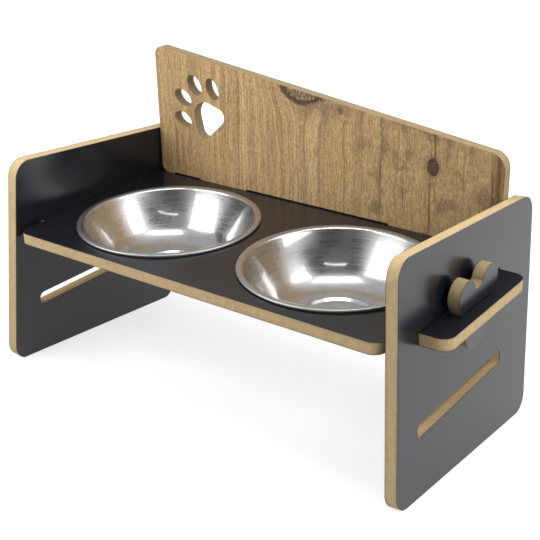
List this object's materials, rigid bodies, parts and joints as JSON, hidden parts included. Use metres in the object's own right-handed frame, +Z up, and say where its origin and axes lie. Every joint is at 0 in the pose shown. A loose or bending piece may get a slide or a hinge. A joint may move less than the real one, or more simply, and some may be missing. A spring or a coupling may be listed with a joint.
{
  "type": "elevated pet feeder",
  "caption": "Raised pet feeder: a tilted shelf with lift-out steel bowls, held by slotted side panels with heart keys, and a wood-look back panel with a paw cut-out.",
  "frame": {"origin": "on the floor, under the middle of the feeder's box", "axes": "+X along the shelf, to the right as seen from the front; +Y from the front to the back; +Z up"},
  "size_m": [0.3514, 0.1744, 0.2171],
  "materials": {
    "black_melamine": "black melamine facing with a fine orange-peel grain and a soft sheen",
    "raw_board": "raw cut edge of fibreboard",
    "oak_decor": "rustic oak decor facing, matt, with upright grain",
    "spun_steel": "spun stainless steel with fine rings"
  },
  "bodies": {
    "stand": {"left_panel_inner_facing": "black_melamine", "left_panel_core": "raw_board", "left_panel_outer_facing": "black_melamine", "right_panel_inner_facing": "black_melamine", "right_panel_core": "raw_board", "right_panel_outer_facing": "black_melamine", "shelf_bottom_facing": "black_melamine", "shelf_core": "raw_board", "shelf_top_facing": "black_melamine"},
    "left_key": {"left_key_inner_facing": "black_melamine", "left_key_core": "raw_board", "left_key_outer_facing": "black_melamine"},
    "right_key": {"right_key_inner_facing": "black_melamine", "right_key_core": "raw_board", "right_key_outer_facing": "black_melamine"},
    "back_panel": {"back_panel_rear_facing": "oak_decor", "back_panel_core": "raw_board", "back_panel_front_facing": "oak_decor"},
    "left_bowl": {"left_bowl": "spun_steel"},
    "right_bowl": {"right_bowl": "spun_steel"}
  },
  "joints": [
    {"name": "left_bowl_lift", "type": "slide", "parent": "stand", "child": "left_bowl", "axis": [0, -0.0924, 0.9957], "range_m": [0, 0.04]},
    {"name": "right_bowl_lift", "type": "slide", "parent": "stand", "child": "right_bowl", "axis": [0, -0.0924, 0.9957], "range_m": [0, 0.04]},
    {"name": "left_key_lift", "type": "slide", "parent": "stand", "child": "left_key", "axis": [0, -0.0924, 0.9957], "range_m": [0, 0.032]},
    {"name": "right_key_lift", "type": "slide", "parent": "stand", "child": "right_key", "axis": [0, -0.0924, 0.9957], "range_m": [0, 0.032]},
    {"name": "back_panel_lift", "type": "slide", "parent": "stand", "child": "back_panel", "axis": [0, -0.0924, 0.9957], "range_m": [0, 0.012]}
  ]
}
